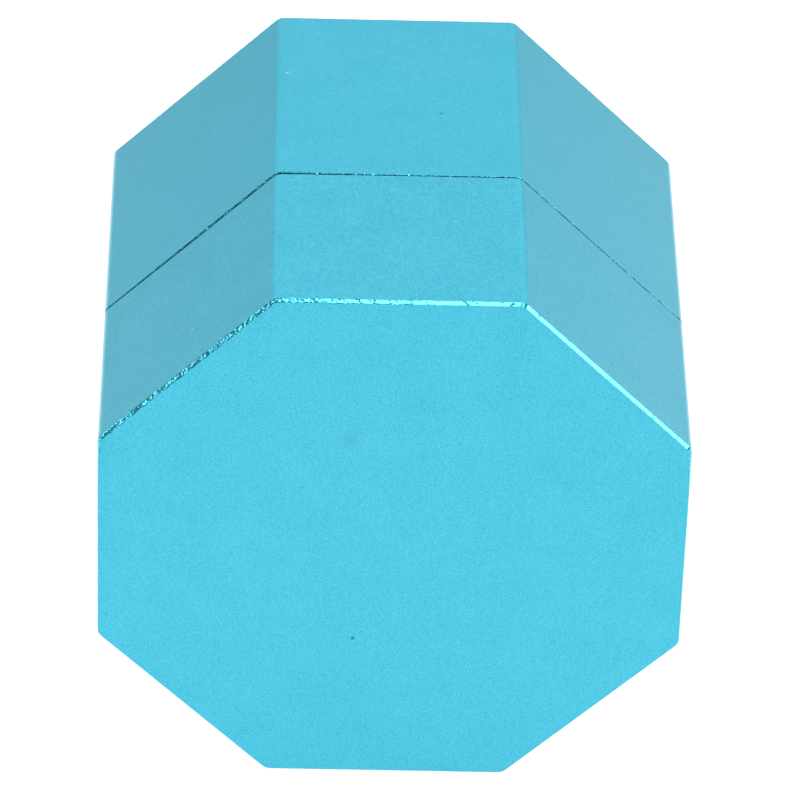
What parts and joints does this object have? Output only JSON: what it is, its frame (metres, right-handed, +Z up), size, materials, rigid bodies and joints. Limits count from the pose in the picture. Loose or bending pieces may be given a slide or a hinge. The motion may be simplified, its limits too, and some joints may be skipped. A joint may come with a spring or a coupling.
{
  "type": "rock tumbler barrel",
  "caption": "Octagonal screw-top tumbler barrel with a plain front face, a thin seam round its middle and a rubber-lined octagonal chamber.",
  "frame": {"origin": "middle of the barrel's footprint on the surface that its lowest flat rests on", "axes": "+Y along the barrel's axis from the lid to the body's back face, +Z up, +X across"},
  "size_m": [0.12, 0.105, 0.12],
  "materials": {
    "anodised_shell": "fine bead-blasted and anodised sky blue, with a bright-cut chamfer round the end faces",
    "liner_rubber": "moulded matt black",
    "seal_rubber": "moulded satin black",
    "stainless": "turned stainless",
    "acetal": "machined natural acetal"
  },
  "bodies": {
    "barrel": {"body_shell": "anodised_shell", "body_liner": "liner_rubber", "neck_o_ring": "seal_rubber"},
    "inner_lid": {"seal_plate": "stainless", "seal_boot": "seal_rubber", "swivel_spindle": "stainless", "spindle_washer": "stainless", "spindle_nut": "stainless"},
    "lid": {"lid_shell": "anodised_shell", "thrust_washer": "acetal", "retainer_ring": "stainless", "retainer_screw_1": "stainless", "retainer_screw_2": "stainless", "retainer_screw_3": "stainless", "retainer_screw_4": "stainless"}
  },
  "joints": [
    {"name": "lid_travel", "type": "slide", "parent": "barrel", "child": "inner_lid", "axis": [0, -1, 0], "range_m": [0, 0.0721]},
    {"name": "lid_turn", "type": "hinge", "parent": "inner_lid", "child": "lid", "pos_m": [0, -0.0343, 0.06], "axis": [0, -1, 0], "range_deg": [0, 1620]}
  ],
  "couplings": [
    {"joint": "lid_travel", "follows": "lid_turn", "m_per_rad": 0.0025465}
  ]
}
